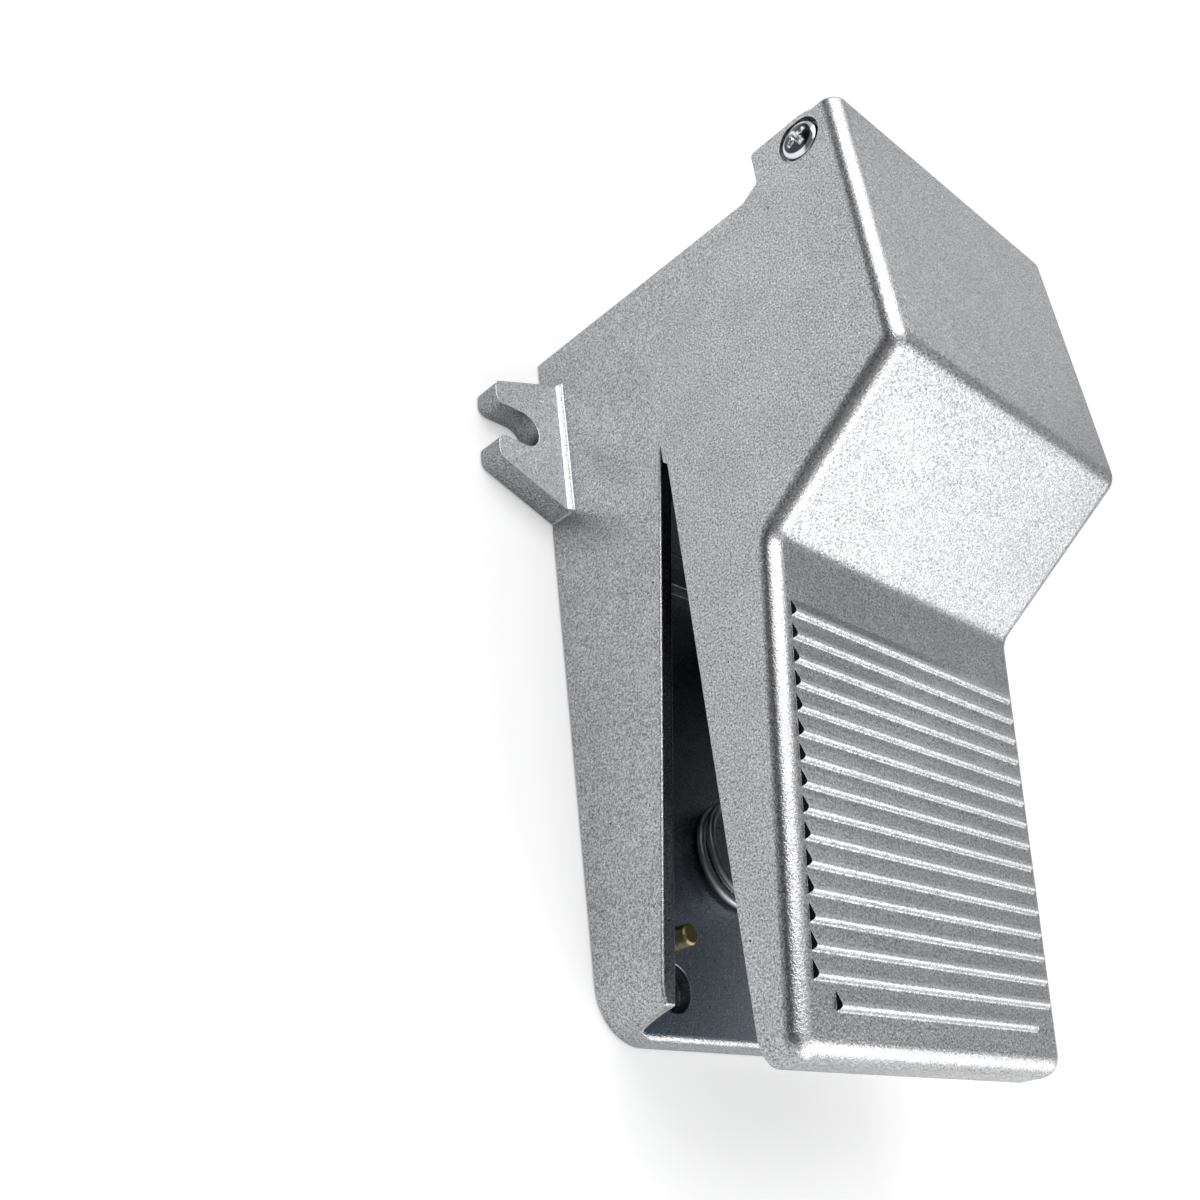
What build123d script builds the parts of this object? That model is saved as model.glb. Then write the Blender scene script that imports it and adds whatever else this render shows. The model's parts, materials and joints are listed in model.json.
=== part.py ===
from build123d import *
import os
from math import cos, radians, sin, tan

# Foot pedal air valve: a die-cast tray that carries a five-port spool valve, and a ribbed pedal hood.
#
# Millimetres. +Z is up and the sole stands on z = 0. The toe points along -Y and the ports face +Y.
# The origin is the middle of the rectangular sole, without its lugs. "Ahead" is the distance in front
# of the sole's rear edge, so a piece at ahead = 0 stands straight above that edge. "Back" is the
# distance behind the sole's front edge.

# Sole, floor and side walls of the tray
base_length = 148.5
base_width = 70.3
sole_thickness = 6.0
wall = 3.0
corner_radius = 10.0
corner_radius_high = 7.0
corner_high = 16.0
wall_front_height = 15.6
wall_slope = 9.17
ramp_top_back = 3.6
ramp_foot_back = 1.4
pocket_radius = 2.1
tower_ahead = 40.0
tower_drop = 15.5
pad_ahead = 54.0
pad_height = 3.2
front_edge_radius = 1.3
edge_radius = 0.5
wall_top_radius = 0.6

# Mounting lugs on both sides of the sole, with slots that open outwards
lug_ahead = 26.7
lug_reach = 18.6
lug_root_half = 16.7
lug_tip_half = 9.4
lug_tip_radius = 2.0
lug_root_radius = 1.8
slot_width = 8.2
slot_centre_out = 11.4

# Countersunk mounting holes in the floor, for M5 cap screws
floor_hole_back = 9.3
floor_hole_out = 21.35
floor_hole_diameter = 5.5
floor_sink_diameter = 8.8
floor_sink_depth = 3.0

# Brass pins in the floor that stop the pedal
stop_pin_back = 18.6
stop_pin_out = 18.0
stop_pin_diameter = 4.0
stop_pin_height = 2.8
stop_pin_depth = 3.5
stop_post_diameter = 6.0

# Pivot across the top of the ears
pivot_ahead = 0.0
pivot_drop = 9.5
pedal_travel = 8.5
shaft_diameter = 6.0
bush_wall = 1.0
ear_overhang = 10.2
ear_underside_drop = 13.3
ear_boss_length = 4.0
ear_foot_drop = 9.5
ear_rear_radius = 7.5

# Pedal hood
cheek_thickness = 3.2
hood_thickness = 3.0
hood_height = 89.0
hood_overhang = 5.3
ridge_ahead = 53.6
valley_ahead = 76.0
valley_height = 56.9
toe_overhang = 10.3
tread_slope = 8.37
cheek_low_rear = 35.4
cheek_low_middle = 36.4
cheek_low_front = 37.2
cheek_step_ahead = 49.0
cheek_step_length = 1.0
cheek_rear_ahead = 21.4
cheek_notch_ahead = 0.4
cheek_notch_drop = 7.5
side_edge_radius = 3.5
rear_edge_radius = 1.2
profile_radius = 4.0
toe_corner_radius = 4.2
toe_low_radius = 2.4

# Grip ribs on the tread: a long slope to the rear, a narrow crest and a steep front
rib_count = 16
rib_first = 10.9
rib_pitch = 4.17
rib_margin = 3.55
rib_last_margin = 8.85
rib_rear_run = 2.56
rib_front_run = 0.56
rib_apex = 1.05
rib_crest_radius = 0.85
rib_foot_radius = 0.4
rib_end_angle = 30.0

# Inside of the hood
striker_width = 14.0
striker_depth = 16.0
striker_drop = 2.0
keel_width = 2.5
keel_drop = 4.0
keel_rear_ahead = 82.0

# Pedal return spring
spring_back = 36.0
spring_diameter = 22.0
spring_wire = 1.8
spring_active_turns = 6.5
spring_start_angle = 90.0
spring_seat_drop = 6.03
spring_seat_diameter = 24.0
spigot_height = 2.5

# Valve body
body_side_gap = 3.15
body_rear_ahead = 1.0
body_front_ahead = 49.9
body_corner_radius = 2.0
lower_cap_thickness = 4.0
lower_gasket_thickness = 0.8
upper_gasket_thickness = 0.6
port_end_distance = 10.0
port_column_out = 13.0
port_diameter = 11.8
port_depth = 13.0
port_chamfer = 0.9
gallery_diameter = 6.0
plunger_stand_out = 5.7

# Spool and its bore
bore_ahead = 24.0
bore_diameter = 14.0
chamber_diameter = 17.6
chamber_height = 4.4
land_diameter = 13.2
land_length = 2.4
waist_diameter = 9.2
seal_thickness = 1.5
seal_bore = 10.4
seal_over_port = 4.3
seal_under_port = 1.0
bumper_thickness = 1.0
plunger_diameter = 8.0
plunger_flange_diameter = 12.0
plunger_flange_thickness = 1.5
plunger_dome_radius = 8.0
spool_spring_diameter = 6.0
spool_spring_wire = 0.9
spool_spring_active_turns = 4.0
spool_pocket_depth = 8.0

# Upper cap with the plunger's guide
cap_width = 36.0
cap_depth = 22.0
cap_thickness = 4.4
cap_corner_radius = 3.0
cap_boss_diameter = 15.0
cap_boss_height = 7.4
guide_diameter = 12.0
guide_length = 4.0
wiper_thickness = 2.0
cap_screw_out = 14.0
cap_screw_along = 6.5

# Screws: thread diameter, head diameter, head height
pivot_screw = (4.0, 8.0, 3.1)
body_screw = (4.0, 7.2, 2.8)
cap_screw = (3.0, 5.6, 2.0)
pivot_screw_length = 9.0
body_screw_length = 22.0
cap_screw_length = 10.0
pivot_sink_diameter = 9.3
pivot_sink_depth = 2.0
body_sink_diameter = 8.0
body_sink_depth = 3.4
body_screw_out = 23.0
body_screw_ahead = (8.0, 42.0)
clearance_hole_extra = 0.4
pan_rim_share = 0.65
pan_crown_share = 0.3

# Clearances
side_gap = 0.4
rest_gap = 0.3
closed_turn_gap = 0.1
running_gap = 0.05
seat_gap = 0.02

# How far a cutting tool reaches past the face that it opens
past = 1.0

# Worked out from the sizes above
rear_y = base_length / 2
half_base = base_width / 2
ramp_top_ahead = base_length - ramp_top_back
ramp_foot_ahead = base_length - ramp_foot_back
floor_hole_ahead = base_length - floor_hole_back
stop_pin_ahead = base_length - stop_pin_back
spring_ahead = base_length - spring_back
toe_ahead = base_length + toe_overhang
half_inside = half_base - wall
half_hood_inside = half_base + side_gap
half_pedal = half_hood_inside + cheek_thickness
pedal_width = 2 * half_pedal
body_width = 2 * (half_inside - body_side_gap)
floor_z = sole_thickness
pad_z = floor_z + pad_height
hood_inside = hood_height - hood_thickness
pivot_height = hood_height - pivot_drop
ear_radius = hood_inside - rest_gap - pivot_height
bush_radius = shaft_diameter / 2 + running_gap + bush_wall
striker_z = hood_inside - striker_drop
plunger_top = striker_z - rest_gap
cap_z = plunger_top - plunger_stand_out - cap_boss_height
body_top = cap_z - upper_gasket_thickness
body_z = pad_z + lower_cap_thickness + lower_gasket_thickness
port_pitch = (body_top - body_z - 2 * port_end_distance) / 4
port_z = [body_z + port_end_distance + port_pitch * i for i in range(5)]
spool_travel = (bore_ahead - pivot_ahead) * radians(pedal_travel)
spool_top = cap_z - bumper_thickness - rest_gap - plunger_flange_thickness
spool_low = body_z + spool_travel + rest_gap
seal_heights = [
    spool_low + land_length / 2,
    port_z[0] + seal_over_port,
    port_z[2] - seal_under_port,
    port_z[2] + seal_over_port,
    port_z[4] - seal_under_port,
    spool_top - land_length / 2,
]
stop_pin_top = floor_z + stop_pin_height


def y_of(ahead):
    """The Y place of a point that lies this far in front of the sole's rear edge."""
    return rear_y - ahead


def side_plate(outline, width, middle=0.0):
    """A plate across X from a closed outline of (ahead, height, corner radius)."""
    points = [(y_of(ahead), height) for ahead, height, _ in outline]
    line = FilletPolyline(*points, radius=[corner for _, _, corner in outline], close=True)
    face = make_face(Plane.YZ * line)
    return Pos(middle, 0, 0) * extrude(face, amount=width / 2, both=True)


def plan_face(width, rear, front, corner):
    """A rectangle on the ground whose two front corners are rounded."""
    half = width / 2
    points = [(-half, y_of(rear)), (half, y_of(rear)), (half, y_of(front)), (-half, y_of(front))]
    return make_face(FilletPolyline(*points, radius=[0, 0, corner, corner], close=True))


def plan_plate(width, rear, front, corner, low, high):
    """A plate with vertical sides whose two front corners are rounded."""
    return Pos(0, 0, low) * extrude(plan_face(width, rear, front, corner), amount=high - low, dir=(0, 0, 1))


def upright(diameter, ahead, low, high, out=0.0):
    """A vertical round bar."""
    bar = Cylinder(diameter / 2, high - low, align=(Align.CENTER, Align.CENTER, Align.MIN))
    return Pos(out, y_of(ahead), low) * bar


def pivot_bar(diameter, left, right):
    """A round bar on the pivot's axis, between two places along X."""
    bar = Cylinder(diameter / 2, right - left, align=(Align.CENTER, Align.CENTER, Align.MIN))
    return Pos(left, y_of(pivot_ahead), pivot_height) * Rot(0, 90, 0) * bar


def slab(width, rear, front, low, high, out=0.0):
    """A plain box between two distances ahead."""
    box = Box(width, front - rear, high - low, align=(Align.CENTER, Align.MAX, Align.MIN))
    return Pos(out, y_of(rear), low) * box


def both_sides(solid):
    """The solid and its mirror image on the other side."""
    return [solid, mirror(solid, about=Plane.YZ)]


def wall_height(ahead):
    """Height of the side wall's top edge, which falls towards the toe."""
    return wall_front_height + (ramp_top_ahead - ahead) * tan(radians(wall_slope))


def tread_height(ahead):
    """Height of the tread's flat between its ribs."""
    return valley_height - (ahead - valley_ahead) * tan(radians(tread_slope))


def spring_seat():
    """Height of the face under the tread that the return spring carries."""
    return tread_height(spring_ahead) - spring_seat_drop


def back_from_pressed(ahead, height):
    """Where a point of the pressed pedal lies when the pedal is at rest."""
    angle = radians(pedal_travel)
    back, rise = pivot_ahead - ahead, height - pivot_height
    rest_back = back * cos(angle) + rise * sin(angle)
    rest_rise = rise * cos(angle) - back * sin(angle)
    return pivot_ahead - rest_back, pivot_height + rest_rise


def lug():
    """One mounting lug, flush with the sole, with its slot open outwards."""
    slot_radius = slot_width / 2
    outline = [
        (-wall, lug_root_half, 0),
        (0, lug_root_half, 0),
        (lug_reach, lug_tip_half, lug_tip_radius),
        (lug_reach, -lug_tip_half, lug_tip_radius),
        (0, -lug_root_half, 0),
        (-wall, -lug_root_half, 0),
    ]
    points = [(out, along) for out, along, _ in outline]
    line = FilletPolyline(*points, radius=[corner for _, _, corner in outline], close=True)
    slot_length = lug_reach - slot_centre_out + slot_radius
    slot = Pos(slot_centre_out, 0) * (
        Circle(slot_radius) + Rectangle(slot_length, slot_width, align=(Align.MIN, Align.CENTER))
    )
    prong_corners = (make_face(line) - slot).vertices().filter_by_position(
        Axis.X, lug_reach - seat_gap, lug_reach + seat_gap
    )
    mouth = [corner for corner in prong_corners if abs(corner.Y) < slot_radius + seat_gap]
    face = fillet(mouth, lug_tip_radius)
    return Pos(half_base, y_of(lug_ahead), 0) * extrude(face, amount=sole_thickness)


def base_housing():
    """Die-cast tray: sole, side walls that fall to the toe, pivot ears, lugs and the valve's pad."""
    profile = [
        (0, 0, 0),
        (base_length, 0, 0),
        (base_length, floor_z, front_edge_radius),
        (ramp_foot_ahead, floor_z, 0),
        (ramp_top_ahead, wall_front_height, edge_radius),
        (tower_ahead, wall_height(tower_ahead), corner_radius / 2),
        (tower_ahead, pivot_height - tower_drop, corner_radius),
        (pivot_ahead + ear_radius, pivot_height - ear_foot_drop, ear_radius),
        (pivot_ahead + ear_radius, pivot_height + ear_radius, ear_radius - seat_gap),
        (-ear_overhang, pivot_height + ear_radius, ear_rear_radius),
        (-ear_overhang, pivot_height - ear_underside_drop, 2 * edge_radius),
        (0, pivot_height - ear_underside_drop, wall),
    ]
    top = pivot_height + ear_radius
    tray = tray_envelope(top + past) & side_plate(profile, base_width + 2 * past)
    inside_width = base_width - 2 * wall
    tray -= plan_plate(inside_width, -2 * ear_overhang, ramp_foot_ahead, pocket_radius, floor_z, top + past)
    tray += slab(inside_width, 0, pad_ahead, floor_z, pad_z)
    wall_tops = [
        edge
        for edge in tray.edges().filter_by(GeomType.LINE)
        if abs(abs(edge.center().X) - half_base) < seat_gap
        and tower_ahead < rear_y - edge.center().Y < ramp_top_ahead
        and wall_front_height < edge.center().Z < wall_height(tower_ahead)
    ]
    tray = fillet(wall_tops, wall_top_radius)

    for side in both_sides(lug()):
        tray += side
    root = [
        edge
        for edge in tray.edges().filter_by(Axis.Y)
        if abs(edge.center().Z - sole_thickness) < seat_gap
        and abs(abs(edge.center().X) - half_base) < seat_gap
        and abs(edge.center().Y - y_of(lug_ahead)) < lug_root_half
    ]
    tray = fillet(root, lug_root_radius)

    boss_inner = half_inside - ear_boss_length
    boss = pivot_bar(2 * ear_radius, boss_inner, half_base - seat_gap)
    bore = pivot_bar(2 * (bush_radius + seat_gap), boss_inner - past, half_base + past)
    for side in both_sides(boss):
        tray += side
    for side in both_sides(bore):
        tray -= side

    spigot = spring_diameter - 2 * spring_wire - 2 * rest_gap
    tray += upright(spigot, spring_ahead, floor_z, floor_z + spigot_height)
    sink_z = floor_z - floor_sink_depth
    for out in (-floor_hole_out, floor_hole_out):
        tray -= upright(floor_hole_diameter, floor_hole_ahead, -past, floor_z + past, out)
        tray -= upright(floor_sink_diameter, floor_hole_ahead, sink_z, floor_z + past, out)
    for out in (-stop_pin_out, stop_pin_out):
        pin_hole = stop_pin_diameter + 2 * seat_gap
        tray -= upright(pin_hole, stop_pin_ahead, floor_z - stop_pin_depth, floor_z + past, out)
    for out, ahead in body_screw_places():
        tray -= upright(body_screw[0] + clearance_hole_extra, ahead, -past, pad_z + past, out)
        tray -= upright(body_sink_diameter, ahead, -past, body_sink_depth, out)
    return tray


def tray_envelope(top):
    """The tray's plan outline: its front corners get tighter as they rise."""
    front = base_length + seat_gap
    foot = plan_face(base_width, -2 * ear_overhang, front, corner_radius)
    head = plan_face(base_width, -2 * ear_overhang, front, corner_radius_high)
    corner = loft([foot, Pos(0, 0, corner_high) * head], ruled=True)
    return corner + Pos(0, 0, corner_high) * extrude(head, amount=top - corner_high, dir=(0, 0, 1))


def body_screw_places():
    """Sideways and forward places of the screws that hold the valve body."""
    return [(out, ahead) for out in (-body_screw_out, body_screw_out) for ahead in body_screw_ahead]


def cap_screw_places():
    """Sideways and forward places of the screws in the upper cap."""
    rows = (bore_ahead - cap_screw_along, bore_ahead + cap_screw_along)
    return [(out, ahead) for out in (-cap_screw_out, cap_screw_out) for ahead in rows]


def stop_pins():
    """Two brass pins pressed into the floor."""
    low = floor_z - stop_pin_depth
    edge = stop_pin_diameter / 10
    pins = []
    for out in (-stop_pin_out, stop_pin_out):
        pin = upright(stop_pin_diameter, stop_pin_ahead, low, stop_pin_top, out)
        pins.append(chamfer(pin.edges().sort_by(Axis.Z)[-1], edge))
    return pins


def pivot_shaft():
    """Steel shaft between the cheeks, tapped at both ends."""
    shaft = pivot_bar(shaft_diameter, -half_hood_inside, half_hood_inside)
    depth = pivot_screw_length
    tap = pivot_bar(pivot_screw[0], half_hood_inside - depth, half_hood_inside + past)
    for side in both_sides(tap):
        shaft -= side
    return shaft


def pivot_bushes():
    """Plain bushes pressed into the ears."""
    inner = half_inside - ear_boss_length
    bush = pivot_bar(2 * bush_radius, inner, half_base)
    bush -= pivot_bar(shaft_diameter + 2 * running_gap, inner - past, half_base + past)
    return both_sides(bush)


def screw(sizes, length):
    """A pan-head screw, head up, its seat at z = 0 and its shank below."""
    thread, head, height = sizes
    shank, rim, crown = thread / 2 - seat_gap, pan_rim_share * height, pan_crown_share * head
    outline = Polyline(
        (0, -length), (shank, -length), (shank, 0), (head / 2, 0), (head / 2, rim), (crown, height),
        (0, height), close=True
    )
    return revolve(make_face(Plane.XZ * outline), Axis.Z)


def cross_recess(sizes):
    """The two slots that cross in a screw's head."""
    thread, head, height = sizes
    slot = Box(head * 0.5, thread * 0.22, height * 0.6, align=(Align.CENTER, Align.CENTER, Align.MAX))
    return [Pos(0, 0, height) * Rot(0, 0, turn) * slot for turn in (45, 135)]


def pivot_screws():
    """The two screws that hold the cheeks on the shaft."""
    solid = screw(pivot_screw, pivot_screw_length)
    for slot in cross_recess(pivot_screw):
        solid -= slot
    seat = half_pedal - pivot_sink_depth
    return both_sides(Pos(seat, y_of(pivot_ahead), pivot_height) * Rot(0, 90, 0) * solid)


def body_screws():
    """Four screws from under the sole into the valve body."""
    one = Rot(180, 0, 0) * screw(body_screw, body_screw_length)
    return [Pos(out, y_of(ahead), body_sink_depth) * one for out, ahead in body_screw_places()]


def upper_cap_screws():
    """Four small screws through the upper cap."""
    one = screw(cap_screw, cap_screw_length)
    return [Pos(out, y_of(ahead), cap_z + cap_thickness) * one for out, ahead in cap_screw_places()]


def hood_outline(extra=0.0):
    """The hood's upper outline from its rear to its toe, as (ahead, height, corner radius)."""
    return [
        (-hood_overhang - extra, hood_height, 0),
        (ridge_ahead, hood_height, profile_radius),
        (valley_ahead, valley_height, profile_radius),
        (toe_ahead, tread_height(toe_ahead), 0),
    ]


def hood_shell():
    """The hood's outer form with rounded corners and rims, hollowed from below."""
    notch_height = pivot_height - cheek_notch_drop
    lower = [
        (toe_ahead, cheek_low_front, 0),
        (cheek_step_ahead + cheek_step_length, cheek_low_middle, 0),
        (cheek_step_ahead, cheek_low_rear, 0),
        (cheek_rear_ahead, cheek_low_rear, profile_radius),
        (cheek_notch_ahead, notch_height, 2 * profile_radius),
        (-hood_overhang, notch_height, 0),
    ]
    outer = side_plate(hood_outline() + lower, pedal_width)
    for cutter in both_sides(toe_corner()):
        outer -= cutter
    outer = fillet([edge for edge in outer.edges() if on_upper_rim(edge.center())], side_edge_radius)
    rear_face = outer.faces().sort_by(Axis.Y)[-1]
    rear_edges = [edge for edge in rear_face.edges() if edge.center().Z > notch_height + edge_radius]
    outer = fillet(rear_edges, rear_edge_radius)

    open_below = [(toe_ahead, -hood_height, 0), (-3 * hood_overhang, -hood_height, 0)]
    points = hood_outline(2 * hood_overhang) + open_below
    line = FilletPolyline(
        *[(y_of(ahead), height) for ahead, height, _ in points], radius=[r for _, _, r in points], close=True
    )
    hollow = Plane.YZ * offset(make_face(line), amount=-hood_thickness, kind=Kind.INTERSECTION)
    return outer - extrude(hollow, amount=half_hood_inside, both=True) - toe_underside()


def on_upper_rim(point):
    """Whether an edge with this middle runs round the hood's upper side, along its cheeks and its toe."""
    ahead = rear_y - point.Y
    along_side = abs(abs(point.X) - half_pedal) < seat_gap
    if ahead > toe_ahead - toe_corner_radius:
        return abs(point.Z - tread_height(ahead)) < edge_radius
    if ahead > valley_ahead:
        return along_side and point.Z > tread_height(ahead) - edge_radius
    return along_side and ahead > cheek_rear_ahead and point.Z > valley_height


def toe_corner():
    """What the rounding takes off the toe's right corner, seen from above."""
    radius = toe_corner_radius
    centre = (half_pedal - radius, y_of(toe_ahead - radius))
    block = Pos(*centre) * Rectangle(radius + past, radius + past, align=(Align.MIN, Align.MAX))
    return extrude(block - Pos(*centre) * Circle(radius), amount=hood_height, dir=(0, 0, 1))


def grip_ribs():
    """Ribs across the tread, with sloping ends; the last one is shorter."""
    tread = Plane(
        origin=(0, y_of(valley_ahead), valley_height),
        x_dir=(1, 0, 0),
        z_dir=(0, -sin(radians(tread_slope)), cos(radians(tread_slope))),
    )
    buried = rib_apex / 2
    front = rib_rear_run + rib_front_run
    section = [
        (0, -rib_apex, 0),
        (0, 0, 0),
        (rib_rear_run, rib_apex, rib_crest_radius),
        (front, 0, rib_foot_radius),
        (front + rib_foot_radius, 0, 0),
        (front + rib_foot_radius, -rib_apex, 0),
    ]
    corners = [corner for _, _, corner in section]
    ribs = []
    for number in range(rib_count):
        length = pedal_width - 2 * (rib_margin if number < rib_count - 1 else rib_last_margin)
        foot = rib_first + rib_pitch * number
        points = [(-foot - along, height) for along, height, _ in section]
        line = FilletPolyline(*points, radius=corners, close=True)
        rib = extrude(Plane.YZ * make_face(line), amount=pedal_width / 2, both=True)
        ends = Pos(0, -foot, -buried) * Rectangle(length, 4 * rib_pitch)
        ribs.append(tread * (rib & extrude(ends, amount=4 * buried, taper=rib_end_angle)))
    return ribs


def toe_underside():
    """What the rounding takes off below the toe's front."""
    corner = Pos(toe_ahead - toe_low_radius, cheek_low_front - past) * Rectangle(
        toe_low_radius + past, toe_low_radius + past, align=Align.MIN
    )
    corner -= Pos(toe_ahead - toe_low_radius, cheek_low_front + toe_low_radius) * Circle(toe_low_radius)
    across = Plane(origin=(0, y_of(0), 0), x_dir=(0, -1, 0), z_dir=(1, 0, 0))
    return extrude(across * corner, amount=half_pedal + past, both=True)


def pedal_cover():
    """Die-cast hood: ribbed tread, cheeks, striker pad, spring seat, keels and stop posts."""
    hood = hood_shell()
    for rib in grip_ribs():
        hood += rib

    rear = bore_ahead - striker_depth / 2
    below = hood_thickness / 2
    hood += slab(striker_width, rear, rear + striker_depth, striker_z, hood_inside + below)
    under_tread = [
        (valley_ahead, spring_seat(), 0),
        (valley_ahead, valley_height - below, 0),
        (toe_ahead, tread_height(toe_ahead) - below, 0),
        (toe_ahead, spring_seat(), 0),
    ]
    seat = upright(spring_seat_diameter, spring_ahead, spring_seat(), valley_height)
    hood += seat & side_plate(under_tread, spring_seat_diameter)
    spigot = spring_diameter - 2 * spring_wire - 2 * rest_gap
    hood += upright(spigot, spring_ahead, spring_seat() - spigot_height, spring_seat())

    post_ahead, post_low = back_from_pressed(stop_pin_ahead, stop_pin_top + rest_gap)
    keel = [
        (keel_rear_ahead, tread_height(keel_rear_ahead) - below, 0),
        (post_ahead, tread_height(post_ahead) - below, 0),
        (post_ahead, tread_height(post_ahead) - hood_thickness - keel_drop, 0),
        (keel_rear_ahead, tread_height(keel_rear_ahead) - hood_thickness - keel_drop, 0),
    ]
    for out in (-stop_pin_out, stop_pin_out):
        hood += side_plate(keel, keel_width, out)
        hood += upright(stop_post_diameter, post_ahead, post_low, tread_height(post_ahead) - below, out)

    hole = pivot_screw[0] + clearance_hole_extra
    passage = pivot_bar(hole, half_hood_inside - past, half_pedal + past)
    sink = pivot_bar(pivot_sink_diameter, half_pedal - pivot_sink_depth, half_pedal + past)
    for side in both_sides(passage) + both_sides(sink):
        hood -= side
    return hood


def coil(diameter, wire, flats, active_turns, start_angle, low, high, ahead):
    """An upright compression spring with a closed turn at each end, its wire drawn with a few flats."""
    radius = (diameter - wire) / 2
    closed_pitch = wire + closed_turn_gap
    active_pitch = (high - low - wire - 2 * closed_pitch) / active_turns
    section = RegularPolygon(wire / 2, flats, major_radius=False, rotation=180 / flats + 90)
    height, angle = low + wire / 2, start_angle
    stretches = []
    for turns, pitch in ((1, closed_pitch), (active_turns, active_pitch), (1, closed_pitch)):
        path = Helix(pitch=pitch, height=pitch * turns, radius=radius)
        across = Plane(origin=path @ 0, x_dir=(1, 0, 0), z_dir=(0, 1, 0))
        stretch = sweep(across * section, path=path, is_frenet=True)
        stretches.append(Pos(0, y_of(ahead), height) * Rot(0, 0, angle) * stretch)
        height += pitch * turns
        angle += 360 * turns
    return stretches[0] + stretches[1] + stretches[2]


def pedal_spring():
    """Spring between the floor and the tread."""
    turns, start = spring_active_turns, spring_start_angle
    return coil(spring_diameter, spring_wire, 6, turns, start, floor_z, spring_seat(), spring_ahead)


def spool_spring():
    """Small spring under the spool."""
    low, high = body_z - lower_gasket_thickness, spool_low + spool_pocket_depth
    turns = spool_spring_active_turns
    return coil(spool_spring_diameter, spool_spring_wire, 4, turns, 0, low, high, bore_ahead)


def valve_body():
    """Port block with the spool bore, its five chambers and the galleries from the ports."""
    block = slab(body_width, body_rear_ahead, body_front_ahead, body_z, body_top)
    block = fillet(block.edges().filter_by(Axis.Z), body_corner_radius)
    block -= upright(bore_diameter, bore_ahead, body_z - past, body_top + past)
    for number, height in enumerate(port_z):
        side = -1 if number % 2 == 0 else 1
        out = side * port_column_out
        block -= port(out, height)
        half = chamber_height / 2
        block -= upright(chamber_diameter, bore_ahead, height - half, height + half)
        start = Vector(out, y_of(body_rear_ahead + port_depth), height)
        end = Vector(0, y_of(bore_ahead), height)
        gallery = Plane(origin=start, z_dir=end - start) * extrude(
            Circle(gallery_diameter / 2), amount=(end - start).length
        )
        block -= gallery
    for out, ahead in body_screw_places():
        block -= upright(body_screw[0], ahead, body_z - past, body_sink_depth + body_screw_length + past, out)
    cap_screw_end = cap_z + cap_thickness - cap_screw_length
    for out, ahead in cap_screw_places():
        block -= upright(cap_screw[0], ahead, cap_screw_end - past, body_top + past, out)
    return block


def port(out, height):
    """A tapped port as its tapping drill leaves it, with a chamfered mouth, along Y."""
    bore = port_diameter / 2
    mouth = bore + port_chamfer
    outline = Polyline(
        (0, past), (mouth, past), (mouth, 0), (bore, -port_chamfer), (bore, -port_depth), (0, -port_depth),
        close=True
    )
    drill = revolve(make_face(outline), Axis.Y)
    return Pos(out, y_of(body_rear_ahead), height) * drill


def lower_plate(low, high):
    """Outline of the valve body's foot as a plate, with holes for the body screws."""
    plate = slab(body_width, body_rear_ahead, body_front_ahead, low, high)
    plate = fillet(plate.edges().filter_by(Axis.Z), body_corner_radius)
    for out, ahead in body_screw_places():
        plate -= upright(body_screw[0] + clearance_hole_extra, ahead, low - past, high + past, out)
    return plate


def lower_end_cap():
    """Plate that closes the bore from below."""
    return lower_plate(pad_z, pad_z + lower_cap_thickness)


def lower_gasket():
    """Sheet gasket between the lower plate and the valve body."""
    low = pad_z + lower_cap_thickness
    opening = upright(bore_diameter + clearance_hole_extra, bore_ahead, low - past, body_z + past)
    return lower_plate(low, body_z) - opening


def upper_plate(low, high):
    """Outline of the upper cap as a plate, with holes for its screws."""
    plate = slab(cap_width, bore_ahead - cap_depth / 2, bore_ahead + cap_depth / 2, low, high)
    plate = fillet(plate.edges().filter_by(Axis.Z), cap_corner_radius)
    for out, ahead in cap_screw_places():
        plate -= upright(cap_screw[0] + clearance_hole_extra, ahead, low - past, high + past, out)
    return plate


def upper_gasket():
    """Sheet gasket under the upper cap."""
    opening = upright(bore_diameter + clearance_hole_extra, bore_ahead, body_top - past, cap_z + past)
    return upper_plate(body_top, cap_z) - opening


def upper_end_cap():
    """Cap with a boss that holds the plunger's guide and seal."""
    cap = upper_plate(cap_z, cap_z + cap_thickness)
    top = cap_z + cap_boss_height
    cap += upright(cap_boss_diameter, bore_ahead, cap_z, top)
    pocket = top - guide_length - wiper_thickness
    cap -= upright(guide_diameter, bore_ahead, pocket, top + past)
    cap -= upright(plunger_diameter + 2 * rest_gap, bore_ahead, cap_z - past, top)
    return cap


def ring(outer, inner, low, high):
    """A flat-ended ring on the spool's axis."""
    return upright(outer, bore_ahead, low, high) - upright(inner, bore_ahead, low - past, high + past)


def guide_bush():
    """Bronze guide pressed into the cap."""
    top = cap_z + cap_boss_height
    return ring(guide_diameter - 2 * seat_gap, plunger_diameter + 2 * running_gap, top - guide_length, top)


def plunger_seal():
    """Wiper seal below the guide."""
    top = cap_z + cap_boss_height - guide_length
    return ring(guide_diameter - 2 * seat_gap, plunger_diameter + 2 * running_gap, top - wiper_thickness, top)


def spool_bumper():
    """Washer that the plunger's flange comes up against."""
    outer, inner = bore_diameter - 2 * running_gap, plunger_diameter + 2 * rest_gap
    return ring(outer, inner, cap_z - bumper_thickness, cap_z)


def plunger():
    """Turned steel plunger with a domed top and a flange that keeps it in."""
    flange = upright(plunger_flange_diameter, bore_ahead, spool_top, spool_top + plunger_flange_thickness)
    rod = upright(plunger_diameter, bore_ahead, spool_top, plunger_top + past)
    dome = Pos(0, y_of(bore_ahead), plunger_top - plunger_dome_radius) * Sphere(plunger_dome_radius)
    below = upright(2 * plunger_diameter, bore_ahead, spool_top - past, plunger_top - plunger_dome_radius)
    return flange + (rod & (dome + below))


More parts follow.
